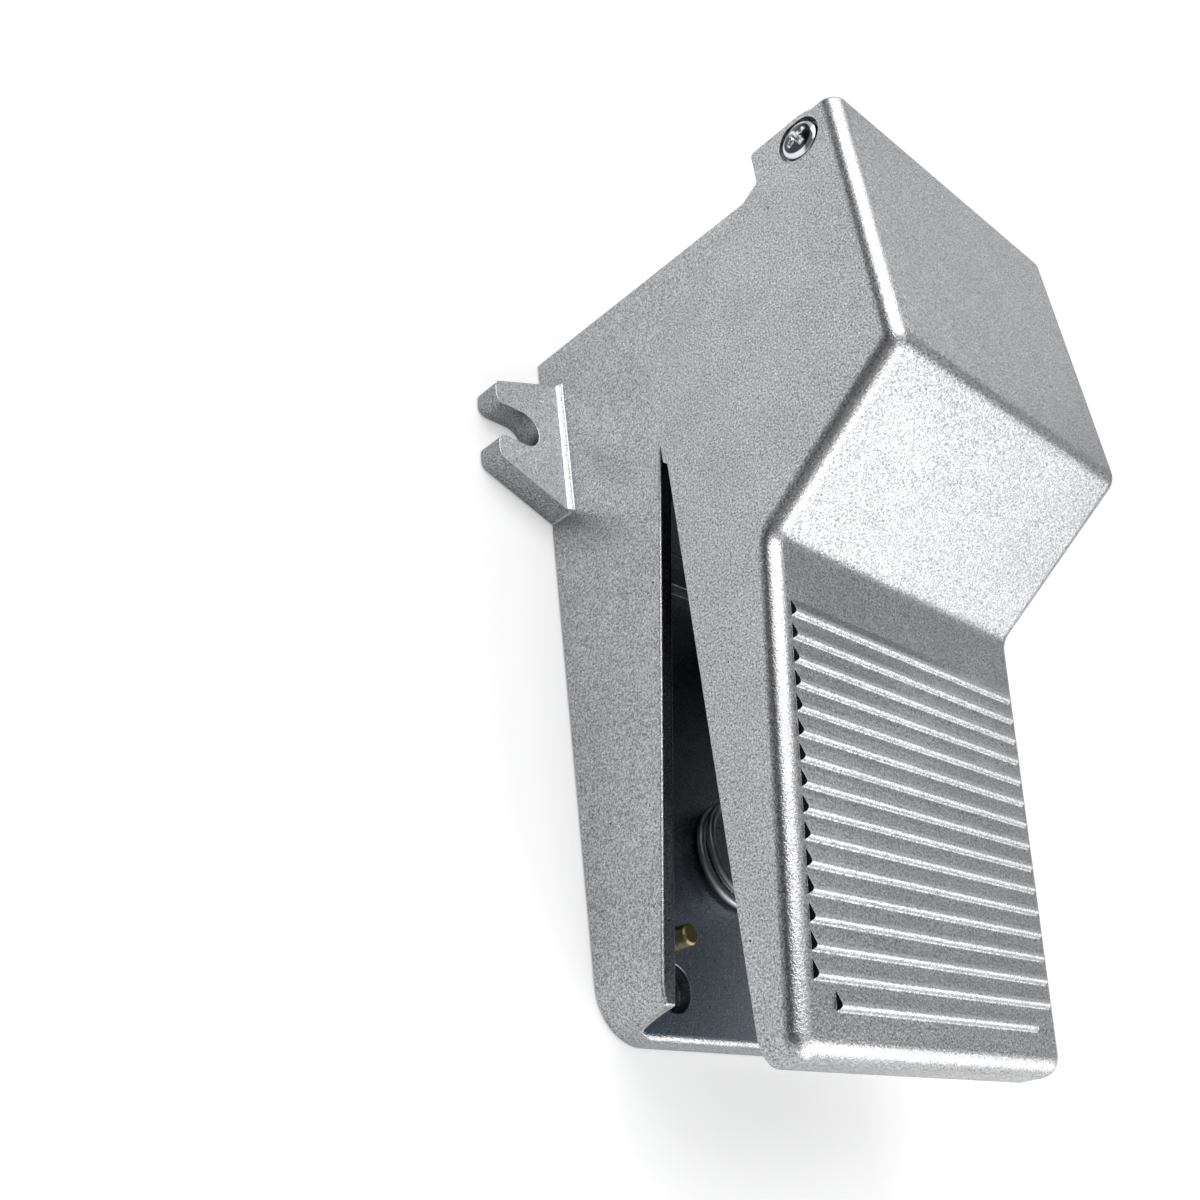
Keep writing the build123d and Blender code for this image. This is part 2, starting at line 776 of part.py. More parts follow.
def spool():
    """Spool with one land and seal groove for each seal, and a pocket for its spring."""
    core = upright(waist_diameter, bore_ahead, spool_low, spool_top)
    for height in seal_heights:
        half = land_length / 2
        core += upright(land_diameter, bore_ahead, height - half, height + half)
    for height in seal_heights:
        half = seal_thickness / 2 + seat_gap
        groove = ring(land_diameter + past, seal_bore - 2 * seat_gap, height - half, height + half)
        core -= groove
    pocket = spool_spring_diameter + 2 * rest_gap
    return core - upright(pocket, bore_ahead, spool_low - past, spool_low + spool_pocket_depth)


def spool_seals():
    """Rubber rings in the spool's grooves."""
    half = seal_thickness / 2
    outer = bore_diameter - 2 * running_gap
    return [ring(outer, seal_bore, height - half, height + half) for height in seal_heights]


nodes = {
    "base_housing": base_housing,
    "stop_pins": stop_pins,
    "pivot_bushes": pivot_bushes,
    "lower_end_cap": lower_end_cap,
    "lower_gasket": lower_gasket,
    "valve_body": valve_body,
    "body_screws": body_screws,
    "upper_gasket": upper_gasket,
    "upper_end_cap": upper_end_cap,
    "upper_cap_screws": upper_cap_screws,
    "guide_bush": guide_bush,
    "plunger_seal": plunger_seal,
    "spool_bumper": spool_bumper,
    "pedal_cover": pedal_cover,
    "pivot_shaft": pivot_shaft,
    "pivot_screws": pivot_screws,
    "pedal_spring": pedal_spring,
    "plunger": plunger,
    "spool": spool,
    "spool_seals": spool_seals,
    "spool_spring": spool_spring,
}

os.makedirs("parts", exist_ok=True)
for name, make in nodes.items():
    made = make()
    solids = made if isinstance(made, list) else [made]
    shape = Compound(children=solids) if len(solids) > 1 else solids[0]
    shape.label = name
    export_step(shape, f"parts/{name}.step")
    print(name, len(solids), "solids", round(sum(solid.volume for solid in solids), 1), "mm3")
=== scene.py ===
import json
import math

import bmesh
import bpy
from mathutils import Matrix, Vector


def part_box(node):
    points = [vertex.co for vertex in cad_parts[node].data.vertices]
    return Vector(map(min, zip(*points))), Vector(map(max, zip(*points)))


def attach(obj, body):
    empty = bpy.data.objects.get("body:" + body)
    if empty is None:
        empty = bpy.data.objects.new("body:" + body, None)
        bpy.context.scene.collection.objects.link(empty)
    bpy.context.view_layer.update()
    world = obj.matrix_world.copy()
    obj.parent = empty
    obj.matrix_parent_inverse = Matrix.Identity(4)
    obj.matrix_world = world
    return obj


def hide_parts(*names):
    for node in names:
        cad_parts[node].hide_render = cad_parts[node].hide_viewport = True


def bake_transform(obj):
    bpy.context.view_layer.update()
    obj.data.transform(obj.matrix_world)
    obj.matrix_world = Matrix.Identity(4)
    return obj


# Foot pedal air valve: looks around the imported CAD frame. Metres, +Z up, toe towards -Y.

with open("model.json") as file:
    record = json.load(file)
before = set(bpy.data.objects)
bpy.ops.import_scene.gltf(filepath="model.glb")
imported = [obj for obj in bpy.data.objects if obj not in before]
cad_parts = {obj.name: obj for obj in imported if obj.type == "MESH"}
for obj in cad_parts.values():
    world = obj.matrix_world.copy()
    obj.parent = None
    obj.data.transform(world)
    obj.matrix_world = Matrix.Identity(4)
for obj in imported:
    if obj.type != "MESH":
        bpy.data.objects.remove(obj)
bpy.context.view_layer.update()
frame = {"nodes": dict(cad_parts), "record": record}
scene = bpy.context.scene
nodes = frame["nodes"]

MM = 0.001
PHOTO_SIDE = 1200


# Camera, fitted to the photograph

def make_camera():
    """The photograph's camera: it looks down from the front left and is rolled, so the toe points down."""
    focal_px, centre_px, stand_mm = 1262.94, (596.98, 575.48), (-193.09, -111.40, 162.41)
    across = Vector((0.72599, -0.09467, 0.68116)).normalized()
    back = Vector((-0.62806, -0.49475, 0.60063)).normalized()
    up = back.cross(across).normalized()
    data = bpy.data.cameras.new("photo_camera")
    data.sensor_width = 36.0
    data.lens = data.sensor_width * focal_px / PHOTO_SIDE
    data.shift_x = (PHOTO_SIDE / 2 - centre_px[0]) / PHOTO_SIDE
    data.shift_y = (centre_px[1] - PHOTO_SIDE / 2) / PHOTO_SIDE
    data.clip_start = 0.01
    data.clip_end = 20.0
    camera = bpy.data.objects.new("photo_camera", data)
    turn = Matrix((across, up, back)).transposed().to_4x4()
    camera.matrix_world = Matrix.Translation(Vector(stand_mm) * MM) @ turn
    scene.collection.objects.link(camera)
    scene.camera = camera


# Materials

def linear(hex_colour):
    """An sRGB hex colour as linear RGBA."""
    channels = [int(hex_colour[i:i + 2], 16) / 255 for i in (1, 3, 5)]
    return [c / 12.92 if c <= 0.04045 else ((c + 0.055) / 1.055) ** 2.4 for c in channels] + [1.0]


def node(tree, kind, inputs=None, **settings):
    """Adds a node. Each input is a value, or the output socket that feeds it."""
    new = tree.nodes.new(kind)
    for name, value in settings.items():
        setattr(new, name, value)
    for socket, value in (inputs or {}).items():
        if isinstance(value, bpy.types.NodeSocket):
            tree.links.new(value, new.inputs[socket])
        else:
            new.inputs[socket].default_value = value
    return new


def new_material(name):
    """An empty node material: its tree, its output node and its place on the piece in millimetres."""
    material = bpy.data.materials.new(name)
    material.use_nodes = True
    tree = material.node_tree
    tree.nodes.clear()
    output = node(tree, "ShaderNodeOutputMaterial")
    place = node(tree, "ShaderNodeTexCoord").outputs["Object"]
    millimetres = node(tree, "ShaderNodeVectorMath", {0: place, "Scale": 1 / MM}, operation="SCALE")
    return material, tree, output, millimetres.outputs["Vector"]


def edge_mask(tree, radius_mm):
    """How far a point lies on a sharp edge, from 0 on a flat to 1 on the edge, and the rounded normal."""
    flat, sharp = 0.995, 0.86
    rounded = node(tree, "ShaderNodeBevel", {"Radius": radius_mm * MM}, samples=6).outputs["Normal"]
    true = node(tree, "ShaderNodeNewGeometry").outputs["True Normal"]
    along = node(
        tree, "ShaderNodeVectorMath", {0: rounded, 1: true}, operation="DOT_PRODUCT"
    ).outputs["Value"]
    mask = node(
        tree, "ShaderNodeMapRange", {"Value": along, "From Min": flat, "From Max": sharp}
    ).outputs["Result"]
    return mask, rounded


def grain(tree, place, size_mm, detail=1.0, distortion=0.0):
    """Noise whose cells have a given size along X, Y and Z, spread over about 0 to 1."""
    usual_low, usual_high = 0.3, 0.7
    stretched = node(
        tree, "ShaderNodeVectorMath", {0: place, 1: [1 / size for size in size_mm]}, operation="MULTIPLY"
    ).outputs["Vector"]
    noise = node(
        tree, "ShaderNodeTexNoise",
        {"Vector": stretched, "Scale": 1.0, "Detail": detail, "Roughness": 0.5, "Distortion": distortion},
    ).outputs["Fac"]
    return node(
        tree, "ShaderNodeMapRange", {"Value": noise, "From Min": usual_low, "From Max": usual_high}
    ).outputs["Result"]


def within(tree, limits):
    """1 where every value is past its second limit, 0 where one is short of its first, fading between."""
    share = None
    for value, short, past in limits:
        reached = node(
            tree, "ShaderNodeMapRange", {"Value": value, "From Min": short, "From Max": past}
        ).outputs["Result"]
        if share is not None:
            reached = node(tree, "ShaderNodeMath", {0: share, 1: reached}, operation="MULTIPLY").outputs[0]
        share = reached
    return share


def surface_spot(tree, place):
    """Where a point is, in millimetres, and which way it faces.

    off is its distance from the middle plane, sideways is how far it faces to either side, and outward is
    that times its place, so it is below 0 where the point faces the middle plane.
    """
    at = node(tree, "ShaderNodeSeparateXYZ", {0: place}).outputs
    normal = node(tree, "ShaderNodeNewGeometry").outputs["Normal"]
    facing = node(tree, "ShaderNodeSeparateXYZ", {0: normal}).outputs
    return {
        "place": place, "y": at["Y"], "z": at["Z"], "facing_y": facing["Y"], "facing_z": facing["Z"],
        "off": node(tree, "ShaderNodeMath", {0: at["X"]}, operation="ABSOLUTE").outputs[0],
        "sideways": node(tree, "ShaderNodeMath", {0: facing["X"]}, operation="ABSOLUTE").outputs[0],
        "outward": node(
            tree, "ShaderNodeMath", {0: facing["X"], 1: at["X"]}, operation="MULTIPLY"
        ).outputs[0],
    }


def rounded_sides(tree, spot):
    """1 on the rounded edges that run fore and aft, between a side face and an upper face."""
    flat_top, top_edge, side_edge, flat_side = 0.12, 0.3, 0.8, 0.9
    upright, leaning = 0.25, 0.4
    return within(tree, (
        (spot["sideways"], flat_top, top_edge), (spot["sideways"], flat_side, side_edge),
        (spot["facing_z"], upright, leaning),
    ))


def tray_inside(tree, spot):
    """1 inside the tray: between its walls and above its underside, on faces that don't look out of it.
    Here the colour is painted shade.
    """
    wall, underside, toe_wall, outer_wall, fade = 32.6, 0.6, -73.3, 6.0, 0.1
    most_forward, most_rearward, turn_fade = -0.35, 0.5, 0.01
    return within(tree, (
        (spot["off"], wall + fade, wall - fade), (spot["z"], underside - fade, underside + fade),
        (spot["y"], toe_wall - fade, toe_wall + fade),
        (spot["facing_y"], most_forward - turn_fade, most_forward + turn_fade),
        (spot["facing_y"], most_rearward + turn_fade, most_rearward - turn_fade),
        (spot["outward"], outer_wall + fade, outer_wall - fade),
    ))


def tray_painted_shade(tree, spot):
    """Painted shade: the countersunk holes of the tray's floor are painted dark, and the sides of its lugs
    a little darker.
    """
    floor_hole, sink_radius, floor_height, sink_share = (21.35, -64.95, 0.0), 4.4, 5.9, 0.6
    lug_start, upper_face, side_face, lug_share = 35.5, 0.6, 0.4, 0.3
    level = node(tree, "ShaderNodeCombineXYZ", {"X": spot["off"], "Y": spot["y"]}).outputs[0]
    aside = node(
        tree, "ShaderNodeVectorMath", {0: level, 1: floor_hole}, operation="DISTANCE"
    ).outputs["Value"]
    sink = within(tree, (
        (aside, sink_radius + 0.1, sink_radius), (spot["z"], floor_height + 0.05, floor_height),
    ))
    lug_side = within(tree, (
        (spot["off"], lug_start, lug_start + 0.2), (spot["facing_z"], upper_face, side_face),
    ))
    dark = node(tree, "ShaderNodeMath", {0: sink, 1: sink_share}, operation="MULTIPLY").outputs[0]
    shade_part = node(tree, "ShaderNodeMath", {0: lug_side, 1: lug_share}, operation="MULTIPLY").outputs[0]
    return node(tree, "ShaderNodeMath", {0: dark, 1: shade_part}, operation="MAXIMUM").outputs[0]


def tray_wear_and_highlight(tree, spot):
    """The tray's rounded upper edges, and a little of the lugs' tops, where bolt heads rub. They are
    painted pale: partly wear, partly painted highlight.
    """
    lug_start, tilted, level, lug_share = 35.3, 0.85, 0.95, 0.4
    lug_top = within(tree, ((spot["off"], lug_start, lug_start + 0.2), (spot["facing_z"], tilted, level)))
    lug_top_wear_and_highlight = node(tree, "ShaderNodeMath", {0: lug_top, 1: lug_share}, operation="MULTIPLY").outputs[0]
    edges = rounded_sides(tree, spot)
    return node(tree, "ShaderNodeMath", {0: edges, 1: lug_top_wear_and_highlight}, operation="MAXIMUM").outputs[0]


def hood_inside(tree, spot):
    """1 on the faces of the hood that look down or towards its middle, where the colour is painted shade.
    """
    inward, fade, downward, turn_fade = -5.0, 0.1, -0.5, 0.01
    inner = within(tree, ((spot["outward"], inward + fade, inward - fade),))
    under = within(tree, ((spot["facing_z"], downward + turn_fade, downward - turn_fade),))
    return node(tree, "ShaderNodeMath", {0: inner, 1: under}, operation="MAXIMUM").outputs[0]


def hood_painted_shade(tree, spot):
    """Painted shade: the pointed ends of the ribs are painted dark, and a band below the pale sides a
    little darker, as a painted dark reflection.
    """
    tread_start, tread_edge, rib_slope, rib_end = -8.0, 36.2, 0.45, 0.6
    band_top, band_full, band_foot, flat_side = 0.80, 0.90, 0.98, 0.998
    upright, leaning, band_share = 0.05, 0.15, 0.4
    ends = within(tree, (
        (spot["sideways"], rib_slope, rib_end), (spot["off"], tread_edge, tread_edge - 0.2),
        (spot["y"], tread_start, tread_start - 1.0),
    ))
    band = within(tree, (
        (spot["sideways"], band_top, band_full), (spot["sideways"], flat_side, band_foot),
        (spot["facing_z"], upright, leaning),
    ))
    shade_part = node(tree, "ShaderNodeMath", {0: band, 1: band_share}, operation="MULTIPLY").outputs[0]
    return node(tree, "ShaderNodeMath", {0: ends, 1: shade_part}, operation="MAXIMUM").outputs[0]


def hood_wear_and_highlight(tree, spot):
    """What shoes rub: the rounded sides and toe of the hood, and the crests of its ribs. They are painted
    pale: partly wear, partly painted highlight.
    """
    tread_normal, tread_start, crest_foot, crest_top = (0.0, -0.14556, 0.98935), -8.0, 57.17, 57.30
    flat_top, top_edge, toe_edge, toe_face, upright, leaning = -0.2, -0.35, -0.62, -0.78, 0.3, 0.45
    toe_start = -78.0
    toe = within(tree, (
        (spot["facing_y"], flat_top, top_edge), (spot["facing_y"], toe_face, toe_edge),
        (spot["facing_z"], upright, leaning), (spot["y"], toe_start, toe_start - 1.0),
    ))
    height = node(
        tree, "ShaderNodeVectorMath", {0: spot["place"], 1: tread_normal}, operation="DOT_PRODUCT"
    ).outputs["Value"]
    crests = within(tree, ((height, crest_foot, crest_top), (spot["y"], tread_start, tread_start - 1.0)))
    sides = rounded_sides(tree, spot)
    rounded = node(tree, "ShaderNodeMath", {0: sides, 1: toe}, operation="MAXIMUM").outputs[0]
    return node(tree, "ShaderNodeMath", {0: rounded, 1: crests}, operation="MAXIMUM").outputs[0]


def screw_head_wear_and_highlight(tree, place):
    """The rim of a pivot screw's head and its cross recess, which the driver wears. They are painted white:
    partly wear, partly painted highlight.
    """
    pivot, rim_radius, recess_radius, crown_off = (0.0, 74.25, 79.5), 3.0, 2.6, 39.3
    at = node(tree, "ShaderNodeSeparateXYZ", {0: place}).outputs
    off = node(tree, "ShaderNodeMath", {0: at["X"]}, operation="ABSOLUTE").outputs[0]
    level = node(tree, "ShaderNodeCombineXYZ", {"Y": at["Y"], "Z": at["Z"]}).outputs[0]
    aside = node(
        tree, "ShaderNodeVectorMath", {0: level, 1: pivot}, operation="DISTANCE"
    ).outputs["Value"]
    rim = within(tree, ((aside, rim_radius, rim_radius + 0.2),))
    recess = within(tree, (
        (aside, recess_radius, recess_radius - 0.1), (off, crown_off, crown_off - 0.1),
    ))
    return node(tree, "ShaderNodeMath", {0: rim, 1: recess}, operation="MAXIMUM").outputs[0]


def cast_aluminium(name, inside, painted_shade, wear_and_highlight, edge_mm):
    """Die-cast aluminium, shot-blasted: matt grey, with a sparkling grain, a few pores and pale edges.

    The shot's real dents, about 0.2 mm across, are drawn 0.34 mm across, so they show. The pores are
    painted dark, as painted shade in the pits. Inside the hollow and under the hood the colour is painted
    shade: a bluer grey, darkest towards the rear. Holes, rib ends and lug sides get darker painted shade
    still. The pale edges are partly wear, partly painted highlight.
    """
    shot, patch, pore_spacing, pore_radius, pore_share, depth_mm = 0.34, 12.0, 5.0, 0.035, 0.62, 0.03
    rub_low, rub_high, rough_low, rough_high = 0.25, 0.85, 0.26, 0.33
    shade_front, shade_rear, front_light, rear_light = -68.0, 0.0, 1.5, 0.35
    material, tree, output, place = new_material(name)
    spot = surface_spot(tree, place)
    fine = grain(tree, place, (shot,) * 3, 1.0, 0.6)
    broad = grain(tree, place, (patch,) * 3, 3.0)
    peened = node(
        tree, "ShaderNodeMix", {0: fine, 6: linear("#828387"), 7: linear("#e6e7e9")}, data_type="RGBA"
    ).outputs[2]
    shade = node(
        tree, "ShaderNodeMix", {0: broad, 6: linear("#f4f4f4"), 7: linear("#ffffff")}, data_type="RGBA"
    ).outputs[2]
    mottled = node(
        tree, "ShaderNodeMix", {0: 1.0, 6: peened, 7: shade}, data_type="RGBA", blend_type="MULTIPLY"
    ).outputs[2]
    cells = node(tree, "ShaderNodeTexVoronoi", {"Vector": place, "Scale": 1 / pore_spacing}).outputs
    near = within(tree, ((cells["Distance"], pore_radius * 1.4, pore_radius),))
    chosen = node(
        tree, "ShaderNodeMath", {0: cells["Color"], 1: pore_share}, operation="GREATER_THAN"
    ).outputs["Value"]
    pore = node(tree, "ShaderNodeMath", {0: near, 1: chosen}, operation="MULTIPLY").outputs["Value"]
    # The pores are painted near black: painted shade in the pits.
    pits_shaded = node(
        tree, "ShaderNodeMix", {0: pore, 6: mottled, 7: linear("#2b2c2e")}, data_type="RGBA"
    ).outputs[2]
    edge, rounded = edge_mask(tree, edge_mm)
    kept = node(
        tree, "ShaderNodeMapRange", {"Value": fine, "To Min": rub_low, "To Max": rub_high}
    ).outputs["Result"]
    # Edges and the places that shoes and bolts wear are painted pale: partly wear, partly painted
    # highlight.
    rubs_and_highlights = node(tree, "ShaderNodeMath", {0: wear_and_highlight(tree, spot), 1: kept}, operation="MULTIPLY").outputs[0]
    edge_wear_and_highlight = node(tree, "ShaderNodeMath", {0: edge, 1: rubs_and_highlights}, operation="MAXIMUM").outputs[0]
    rubbed_and_highlit = node(
        tree, "ShaderNodeMix", {0: edge_wear_and_highlight, 6: pits_shaded, 7: linear("#f4f4f5")}, data_type="RGBA"
    ).outputs[2]
    # Painted shade inside the hollow and under the hood: a bluer grey, scaled darker towards the rear.
    inside_shade_colour = node(
        tree, "ShaderNodeMix", {0: fine, 6: linear("#79818a"), 7: linear("#959da5")}, data_type="RGBA"
    ).outputs[2]
    depth_shade = node(
        tree, "ShaderNodeMapRange",
        {
            "Value": spot["y"], "From Min": shade_front, "From Max": shade_rear, "To Min": front_light,
            "To Max": rear_light,
        },
    ).outputs["Result"]
    shaded = node(
        tree, "ShaderNodeVectorMath", {0: inside_shade_colour, "Scale": depth_shade}, operation="SCALE"
    ).outputs["Vector"]
    toned = node(
        tree, "ShaderNodeMix", {0: inside(tree, spot), 6: rubbed_and_highlit, 7: shaded}, data_type="RGBA"
    ).outputs[2]
    # Painted shade: holes, rib ends, lug sides and a band on the hood's sides are darkened towards near
    # black.
    colour = node(
        tree, "ShaderNodeMix", {0: painted_shade(tree, spot), 6: toned, 7: linear("#26282b")}, data_type="RGBA"
    ).outputs[2]
    relief = node(tree, "ShaderNodeMath", {0: fine, 1: pore}, operation="SUBTRACT").outputs["Value"]
    bump = node(
        tree, "ShaderNodeBump",
        {"Height": relief, "Distance": depth_mm * MM, "Strength": 1.0, "Normal": rounded},
    ).outputs["Normal"]
    rough = node(
        tree, "ShaderNodeMapRange", {"Value": fine, "To Min": rough_high, "To Max": rough_low}
    ).outputs["Result"]
    surface = node(
        tree, "ShaderNodeBsdfPrincipled",
        {"Base Color": colour, "Metallic": 1.0, "Roughness": rough, "Normal": bump},
    )
    tree.links.new(surface.outputs["BSDF"], output.inputs["Surface"])
    return material


def worked_surface(
    name, dark, light, roughness, size_mm, depth_mm, metallic=1.0, rubbed_and_highlit=None, edge_mm=0.15, wear_and_highlight=None
):
    """A machined, drawn, ground or moulded surface, whose marks have a given size along X, Y and Z. Its
    sharp edges are painted in its light colour or a given paler one: partly wear, partly painted highlight.
    """
    spread = 0.15
    material, tree, output, place = new_material(name)
    marks = grain(tree, place, size_mm, 2.0)
    edge_wear_and_highlight, rounded = edge_mask(tree, edge_mm)
    if wear_and_highlight is not None:
        edge_wear_and_highlight = node(tree, "ShaderNodeMath", {0: edge_wear_and_highlight, 1: wear_and_highlight(tree, place)}, operation="MAXIMUM").outputs[0]
    worked = node(
        tree, "ShaderNodeMix", {0: marks, 6: linear(dark), 7: linear(light)}, data_type="RGBA"
    ).outputs[2]
    # Sharp edges take the light or given edge colour: partly wear, partly painted highlight.
    colour = node(
        tree, "ShaderNodeMix", {0: edge_wear_and_highlight, 6: worked, 7: linear(rubbed_and_highlit or light)}, data_type="RGBA"
    ).outputs[2]
    bump = node(
        tree, "ShaderNodeBump",
        {"Height": marks, "Distance": depth_mm * MM, "Strength": 1.0, "Normal": rounded},
    ).outputs["Normal"]
    rough = node(
        tree, "ShaderNodeMapRange",
        {"Value": marks, "To Min": roughness * (1 + spread), "To Max": roughness * (1 - spread)},
    ).outputs["Result"]
    surface = node(
        tree, "ShaderNodeBsdfPrincipled",
        {"Base Color": colour, "Metallic": metallic, "Roughness": rough, "Normal": bump},
    )
    tree.links.new(surface.outputs["BSDF"], output.inputs["Surface"])
    return material


# Pieces that are finer than their CAD solids

def tube_mesh(name, centres, radius, sides, floor):
    """A closed round tube along a row of points, pressed flat where it would sink below a floor height."""
    shape = bmesh.new()
    rings = []
    for i, centre in enumerate(centres):
        before, after = centres[max(i - 1, 0)], centres[min(i + 1, len(centres) - 1)]
        along = (after - before).normalized()
        side = along.cross(Vector((0, 0, 1))).normalized()
        over = side.cross(along).normalized()
        ring = []
        for k in range(sides):
            turn = 2 * math.pi * k / sides
            point = centre + radius * (math.cos(turn) * side + math.sin(turn) * over)
            point.z = max(point.z, floor)
            ring.append(shape.verts.new(point))
        rings.append(ring)
    for ring, after in zip(rings, rings[1:]):
        for k in range(sides):
            shape.faces.new((ring[k], ring[(k + 1) % sides], after[(k + 1) % sides], after[k]))
    shape.faces.new(reversed(rings[0]))
    shape.faces.new(rings[-1])
    return finished_mesh(name, shape)


def finished_mesh(name, shape, smooth_angle=40.0):
    """Turns a bmesh into a smooth-shaded object whose faces point outwards."""
    bmesh.ops.recalc_face_normals(shape, faces=shape.faces)
    mesh = bpy.data.meshes.new(name)
    shape.to_mesh(mesh)
    shape.free()
    mesh.shade_smooth()
    mesh.set_sharp_from_angle(angle=math.radians(smooth_angle))
    piece = bpy.data.objects.new(name, mesh)
    scene.collection.objects.link(piece)
    return piece


def make_spring(name, stood_for, outside, wire, active_turns, start, material):
    """Compression spring with closed ends, whose foot sits on the base."""
    low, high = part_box(stood_for)
    middle = (low + high) / 2
    steps_per_turn, sides, turn_gap = 48, 14, 0.1 * MM
    closed_pitch = 2 * wire + turn_gap
    active_pitch = (high.z - low.z - 2 * wire - 2 * closed_pitch) / active_turns
    turns = active_turns + 2
    centres = []
    steps = int(turns * steps_per_turn)
    for i in range(steps + 1):
        turn = i * turns / steps
        closed = min(turn, 1) + max(turn - 1 - active_turns, 0)
        rise = closed * closed_pitch + (turn - closed) * active_pitch
        angle = math.radians(start) + 2 * math.pi * turn
        around = Vector((math.cos(angle), math.sin(angle), 0)) * (outside - wire)
        centres.append(Vector((middle.x, middle.y, low.z + wire + rise)) + around)
    spring = tube_mesh(name, centres, wire, sides, low.z)
    spring.data.materials.append(material)
    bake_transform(spring)
    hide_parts(stood_for)


def lathe(shape, outline, segments, matrix):
    """Turns an outline of (radius, height) points about Z and places it by a matrix."""
    rings = []
    for radius, height in outline:
        if radius == 0:
            rings.append([shape.verts.new(matrix @ Vector((0, 0, height)))])
            continue
        ring = []
        for k in range(segments):
            turn = 2 * math.pi * k / segments
            point = Vector((radius * math.cos(turn), radius * math.sin(turn), height))
            ring.append(shape.verts.new(matrix @ point))
        rings.append(ring)
    for ring, after in zip(rings, rings[1:]):
        for k in range(segments):
            here = {ring[k % len(ring)], ring[(k + 1) % len(ring)]}
            there = {after[k % len(after)], after[(k + 1) % len(after)]}
            loop = [ring[k % len(ring)]] + ([ring[(k + 1) % len(ring)]] if len(here) == 2 else [])
            loop += [after[(k + 1) % len(after)]] + ([after[k % len(after)]] if len(there) == 2 else [])
            shape.faces.new(loop)


def cross_cutter(shape, matrix, reach, width, depth):
    """A tapered cross that cuts a screw's recess, wide at the top and narrow at the bottom."""
    above, reach_left, width_left = 0.2 * MM, 0.35, 0.7
    rings = []
    for r, w, z in ((reach, width / 2, above), (reach * reach_left, width * width_left / 2, -depth)):
        outline = [(r, -w), (r, w), (w, w), (w, r), (-w, r), (-w, w), (-r, w), (-r, -w), (-w, -w), (-w, -r)]
        outline += [(w, -r), (w, -w)]
        rings.append([shape.verts.new(matrix @ Vector((x, y, z))) for x, y in outline])
    top, bottom = rings
    shape.faces.new(top)
    shape.faces.new(reversed(bottom))
    for k in range(len(top)):
        after = (k + 1) % len(top)
        shape.faces.new((top[k], bottom[k], bottom[after], top[after]))


def make_pivot_screws(material):
    """Pan-head screws with a cross recess, one in each cheek."""
    low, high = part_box("pivot_screws")
    middle = (low + high) / 2
    head_radius, head_height, shank_radius, shank_length = 4.0 * MM, 3.1 * MM, 1.95 * MM, 9.0 * MM
    cross_reach, cross_width, cross_depth, cross_turn, segments = 2.3 * MM, 1.0 * MM, 2.0 * MM, 25.0, 60
    crown = [
        (1.0, 0.0), (1.0, 0.50), (0.97, 0.60), (0.90, 0.68), (0.80, 0.74), (0.66, 0.83), (0.46, 0.92),
        (0.22, 0.98), (0.0, 1.0),
    ]
    outline = [(0.0, -shank_length), (shank_radius, -shank_length), (shank_radius, 0.0)]
    outline += [(r * head_radius, z * head_height) for r, z in crown]
    for name, sign in (("left_pivot_screw", -1), ("right_pivot_screw", 1)):
        seat = high.x - head_height if sign > 0 else low.x + head_height
        place = Matrix.Translation((seat, middle.y, middle.z)) @ Matrix.Rotation(sign * math.pi / 2, 4, "Y")
        place = place @ Matrix.Rotation(math.radians(cross_turn), 4, "Z")
        body = bmesh.new()
        lathe(body, outline, segments, place)
        screw = finished_mesh(name, body)
        wings = bmesh.new()
        top = place @ Matrix.Translation((0, 0, head_height))
        cross_cutter(wings, top, cross_reach, cross_width, cross_depth)
        cutter = finished_mesh(name + "_cutter", wings)
        cut = screw.modifiers.new("cross_recess", "BOOLEAN")
        cut.operation, cut.solver, cut.object = "DIFFERENCE", "EXACT", cutter
        bpy.context.view_layer.objects.active = screw
        bpy.ops.object.modifier_apply(modifier="cross_recess")
        bpy.data.objects.remove(cutter)
        screw.data.materials.append(material)
        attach(screw, "pedal")
        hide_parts("pivot_screws")


def make_lug_root(material):
    """The rounded root between the left lug and the tray's wall, cut off in line with the lug's sides."""
    wall, lug_top, leg, hollow, sink, steps = 35.15 * MM, 6.0 * MM, 1.25 * MM, 0.07 * MM, 0.05 * MM, 8
    middle, half_length, side_slope = 47.55 * MM, 16.7 * MM, 0.392
    section = [(sink - wall, lug_top - sink), (-wall - leg, lug_top - sink)]
    for i in range(steps + 1):
        share = i / steps
        inward = 4 * share * (1 - share) * hollow
        section.append((-wall - leg * (1 - share) + inward, lug_top + leg * share - inward))
    section.append((sink - wall, lug_top + leg))
    shape = bmesh.new()
    ends = []
    for sign in (-1, 1):
        ends.append([
            shape.verts.new((x, middle + sign * (half_length - side_slope * max(0.0, -wall - x)), z))
            for x, z in section
        ])
    near, far = ends
    shape.faces.new(near)
    shape.faces.new(reversed(far))
    for k in range(len(section)):
        after = (k + 1) % len(section)
        shape.faces.new((near[k], far[k], far[after], near[after]))
    root = finished_mesh("left_lug_root", shape, 30.0)
    root.data.materials.append(material)
    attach(root, "base")


